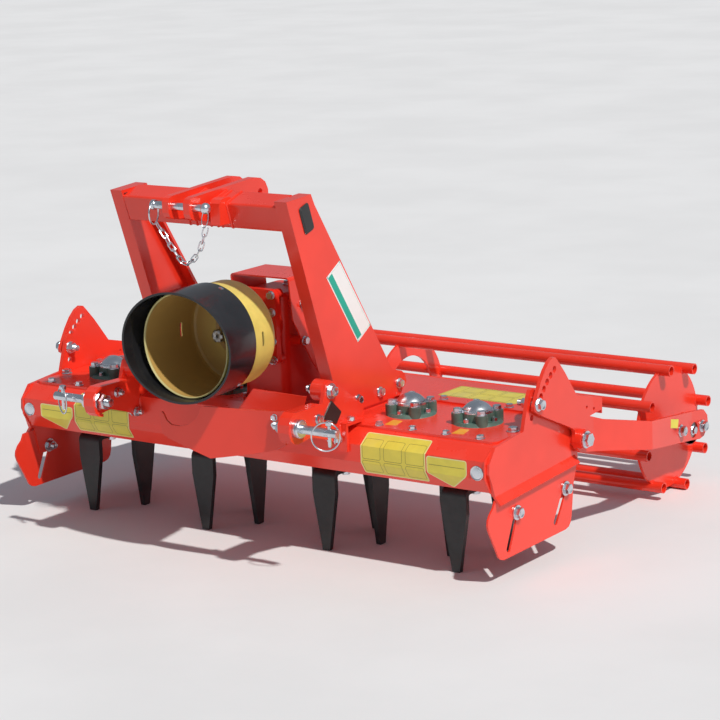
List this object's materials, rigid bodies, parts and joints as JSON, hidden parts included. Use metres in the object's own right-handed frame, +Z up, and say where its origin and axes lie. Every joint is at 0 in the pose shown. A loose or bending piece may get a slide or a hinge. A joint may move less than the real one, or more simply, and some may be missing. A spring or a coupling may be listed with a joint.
{
  "type": "power harrow",
  "caption": "Tractor-mounted power harrow with upright tined rotors under a long gear trough, a hitch tower with guarded drive input and a height-set cage roller behind.",
  "frame": {"origin": "on the ground, at the middle of the machine's length and width", "axes": "+X across the machine along the rotor line, +Y from the hitch towards the roller, +Z up"},
  "size_m": [1.624, 1.4031, 0.962],
  "materials": {
    "red_paint": "gloss",
    "red_casting": "satin",
    "grey_casting": "satin",
    "zinc": "satin",
    "bright_steel": "satin",
    "black_paint": "satin",
    "yellow_plastic": "satin",
    "black_rubber": "satin"
  },
  "bodies": {
    "frame": {"gear_trough": "red_paint", "trough_cover": "red_paint", "rear_shelf": "red_paint", "bearing_housings": "grey_casting", "bearing_domes": "zinc", "end_plate_left": "red_paint", "end_plate_right": "red_paint", "deflector_left": "red_paint", "deflector_right": "red_paint", "hitch_beam": "red_paint", "post_left": "red_paint", "post_right": "red_paint", "post_feet": "red_paint", "cross_tube": "red_paint", "link_plates": "red_paint", "top_link_pin": "zinc", "ear_left": "red_paint", "ear_right": "red_paint", "lower_pin_left": "zinc", "lower_pin_right": "zinc", "shaft_cradle": "red_paint", "gearbox": "red_casting", "gearbox_shield": "red_paint", "guard_cone": "yellow_plastic", "guard_rim": "black_rubber", "pivot_pin_left": "zinc", "pivot_pin_right": "zinc"},
    "rotor_1": {"rotor_hub_1": "black_paint", "tines_1": "black_paint"},
    "rotor_2": {"rotor_hub_2": "black_paint", "tines_2": "black_paint"},
    "rotor_3": {"rotor_hub_3": "black_paint", "tines_3": "black_paint"},
    "rotor_4": {"rotor_hub_4": "black_paint", "tines_4": "black_paint"},
    "rotor_5": {"rotor_hub_5": "black_paint", "tines_5": "black_paint"},
    "rotor_6": {"rotor_hub_6": "black_paint", "tines_6": "black_paint"},
    "rotor_7": {"rotor_hub_7": "black_paint", "tines_7": "black_paint"},
    "input_shaft": {"input_shaft": "bright_steel"},
    "roller_arms": {"arm_left": "red_paint", "arm_right": "red_paint", "roller_bearings": "red_casting"},
    "roller": {"roller_discs": "red_paint", "roller_tubes": "red_paint", "roller_stubs": "bright_steel"}
  },
  "joints": [
    {"name": "rotor_1_spin", "type": "hinge", "parent": "frame", "child": "rotor_1", "pos_m": [-0.6, -0.26757, 0.19], "axis": [0, 0, 1], "continuous": true},
    {"name": "rotor_2_spin", "type": "hinge", "parent": "frame", "child": "rotor_2", "pos_m": [-0.4, -0.26757, 0.19], "axis": [0, 0, 1], "continuous": true},
    {"name": "rotor_3_spin", "type": "hinge", "parent": "frame", "child": "rotor_3", "pos_m": [-0.2, -0.26757, 0.19], "axis": [0, 0, 1], "continuous": true},
    {"name": "rotor_4_spin", "type": "hinge", "parent": "frame", "child": "rotor_4", "pos_m": [0, -0.26757, 0.19], "axis": [0, 0, 1], "continuous": true},
    {"name": "rotor_5_spin", "type": "hinge", "parent": "frame", "child": "rotor_5", "pos_m": [0.2, -0.26757, 0.19], "axis": [0, 0, 1], "continuous": true},
    {"name": "rotor_6_spin", "type": "hinge", "parent": "frame", "child": "rotor_6", "pos_m": [0.4, -0.26757, 0.19], "axis": [0, 0, 1], "continuous": true},
    {"name": "rotor_7_spin", "type": "hinge", "parent": "frame", "child": "rotor_7", "pos_m": [0.6, -0.26757, 0.19], "axis": [0, 0, 1], "continuous": true},
    {"name": "input_shaft_spin", "type": "hinge", "parent": "frame", "child": "input_shaft", "pos_m": [0, -0.46757, 0.573], "axis": [0, 1, 0], "continuous": true},
    {"name": "roller_height", "type": "hinge", "parent": "frame", "child": "roller_arms", "pos_m": [0, -0.07757, 0.293], "axis": [1, 0, 0], "range_deg": [0, 26.3]},
    {"name": "roller_spin", "type": "hinge", "parent": "roller_arms", "child": "roller", "pos_m": [0, 0.51943, 0.18215], "axis": [1, 0, 0], "continuous": true}
  ],
  "couplings": [
    {"joint": "rotor_1_spin", "follows": "rotor_4_spin", "ratio": -1},
    {"joint": "rotor_2_spin", "follows": "rotor_4_spin", "ratio": 1},
    {"joint": "rotor_3_spin", "follows": "rotor_4_spin", "ratio": -1},
    {"joint": "rotor_5_spin", "follows": "rotor_4_spin", "ratio": -1},
    {"joint": "rotor_6_spin", "follows": "rotor_4_spin", "ratio": 1},
    {"joint": "rotor_7_spin", "follows": "rotor_4_spin", "ratio": -1},
    {"joint": "input_shaft_spin", "follows": "rotor_4_spin", "ratio": 1.8}
  ]
}
